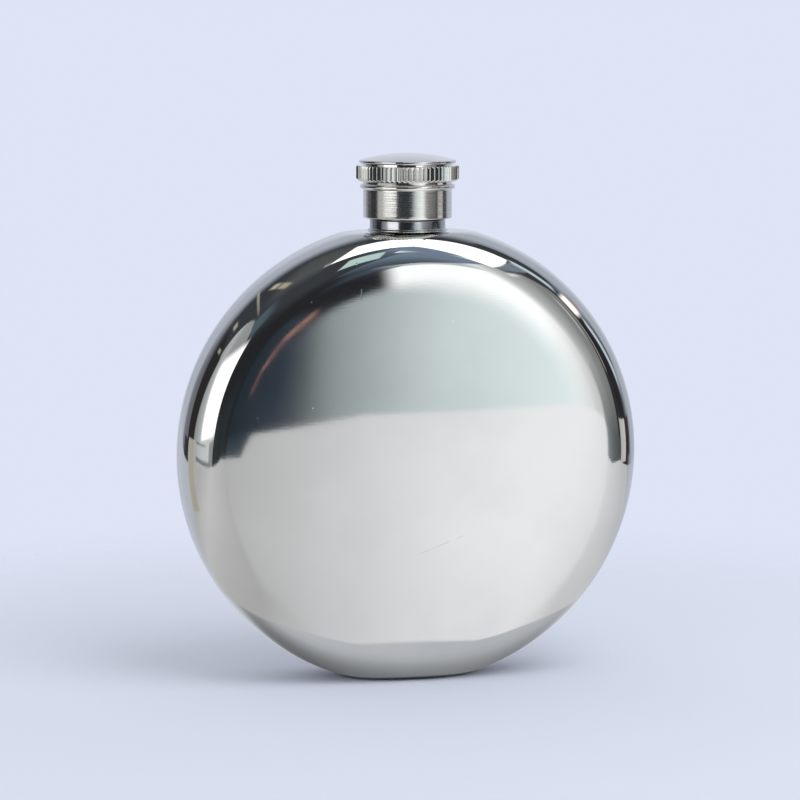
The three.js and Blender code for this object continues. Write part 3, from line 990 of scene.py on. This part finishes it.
def makeFloor():
    f = floorInMetal
    material, look = newLook("paleFloor")
    where = look.where()
    x, y, _ = look.split(where)

    def fromPoint(middle, stretch=(1, 1)):
        return (((x - middle[0]) / stretch[0]) ** 2 + ((y - middle[1]) / stretch[1]) ** 2) ** 0.5

    turn = (x - f["origin"][0]).bearing(f["origin"][1] - y)
    tint = look.mix(look.step(turn, *f["paleTurn"]), f["warm"], f["pale"])
    tint = look.mix(look.step(turn ** 2, *f["behindTurn"]), tint, f["behind"])
    # painted shade: darker near the flask
    tint = look.tinted(tint, look.mix(look.step(look.length(where), *f["farFrom"]), f["near"], f["far"]))
    # painted light and shade: the floor's brightness by direction
    tone = look.tinted(tint, look.ramp(0.5 + turn / fullTurn, f["tones"], white))
    tone = look.mix(look.step(y, *f["rearFrom"]), tone, f["rear"])
    # painted shadow round the foot, with a painted contact shadow under the base
    reach = fromPoint((f["shadeAside"], 0), f["shadeStretch"])
    shade = look.ramp(reach / f["shadeReach"], f["shades"], f["cast"])
    touch = fromPoint((0, 0), f["contact"])
    shade = look.mix(look.step(touch, *f["contactEdge"]), f["contactShade"], shade)
    edge, soft = f["shadeRadius"], f["shadeSoft"]
    isLit = look.step(fromPoint(f["shadeMiddle"]), edge - soft, edge + soft)
    reflected = look.blend(isLit, look.glow(shade, f["shades"]), look.glow(tone, f["tones"]))
    seen = look.node("ShaderNodeBsdfDiffuse", None, {"Color": studio["floorSeen"]})
    isFaded = look.ray("Is Camera Ray") * look.step(look.length(where), *floorPlan["fade"])
    faded = look.blend(isFaded, seen, look.node("ShaderNodeBsdfTransparent"))
    look.surface(look.blend(look.ray("Is Glossy Ray"), faded, reflected))
    stageObject("floor", floorMesh(), material)


def floorMesh():
    p = floorPlan
    bm = bmesh.new()
    bmesh.ops.create_grid(bm, x_segments=1, y_segments=1, size=p["size"],
                          matrix=Matrix.Translation((0, 0, -p["drop"])))
    for azimuth, distance in p["edges"]:
        out = heading(azimuth, 0)
        bmesh.ops.bisect_plane(bm, geom=everything(bm), plane_co=out * distance, plane_no=out,
                               clear_outer=True)
    corner = Vector((*p["notch"], 0))
    for out in (Vector((1, 0, 0)), Vector((0, 1, 0))):
        bmesh.ops.bisect_plane(bm, geom=everything(bm), plane_co=corner, plane_no=out)
    middles = [(face, face.calc_center_median()) for face in bm.faces]
    beyond = [face for face, middle in middles if middle.x < corner.x and middle.y < corner.y]
    bmesh.ops.delete(bm, geom=beyond, context="FACES")
    return bm


def makeWorld():
    world = bpy.data.worlds.new("studio")
    bpy.context.scene.world = world
    world.use_nodes = True
    look = Look(world.node_tree)
    way = look.node("ShaderNodeTexCoord", output="Generated")
    aim = heading(*studio["backdropAim"])
    towards = look.node("ShaderNodeVectorMath", {"operation": "DOT_PRODUCT"}, {0: way, 1: aim}, "Value")
    _, _, rise = look.split(way)
    dark = look.mix(look.step(rise, *studio["darkRise"]), studio["darkLow"], studio["darkHigh"])
    middle = look.step(towards, *studio["backdropGlow"], "LINEAR")
    backdrop = look.mix(middle, studio["backdropLow"], studio["backdropInMetal"])
    inMetal = look.mix(look.step(towards, *studio["backdropEdge"]), dark, backdrop)
    ambient = (studio["ambient"],) * 3 + (1,)
    unseen = look.mix(look.ray("Is Glossy Ray"), ambient, inMetal)
    colour = look.mix(look.ray("Is Camera Ray"), unseen, studio["surround"])
    light = look.node("ShaderNodeBackground", None, {"Color": colour, "Strength": 1.0})
    look.node("ShaderNodeOutputWorld", None, {"Surface": light})


keyLamp = {"aim": (35, 55), "distance": 0.9, "size": 0.6, "watts": 2.7}


def makeLamp():
    k = keyLamp
    data = bpy.data.lights.new("keyLamp", "AREA")
    data.size = k["size"]
    data.energy = k["watts"]
    lamp = bpy.data.objects.new("keyLamp", data)
    bpy.context.scene.collection.objects.link(lamp)
    out = heading(*k["aim"])
    lamp.location = bodyCentre + out * k["distance"]
    lamp.rotation_mode = "QUATERNION"
    lamp.rotation_quaternion = out.to_track_quat("Z", "Y")
    lamp.visible_glossy = False


for name, values in cards.items():
    makeCard(name, **values)
makeFloor()
makeWorld()
makeLamp()
print("studio made:", len(cards), "cards")


# Camera, fitted to the outline of the flask
shot = {
    "target": Vector((0, 0, 56.15 * mm)), "aim": (-12.32, 7.266), "distance": 629.3 * mm,
    "lens": 139.8, "sensor": 36, "shift": -7.59 / 800,  # pixels of a picture 800 wide
}


def makeCamera():
    data = bpy.data.cameras.new("camera")
    data.lens = shot["lens"]
    data.sensor_width = shot["sensor"]
    data.shift_x = shot["shift"]
    camera = bpy.data.objects.new("camera", data)
    bpy.context.scene.collection.objects.link(camera)
    back = heading(*shot["aim"])
    camera.location = shot["target"] + back * shot["distance"]
    camera.rotation_mode = "QUATERNION"
    camera.rotation_quaternion = (-back).to_track_quat("-Z", "Y")
    bpy.context.scene.camera = camera


makeCamera()
bpy.context.scene.view_settings.view_transform = "Standard"
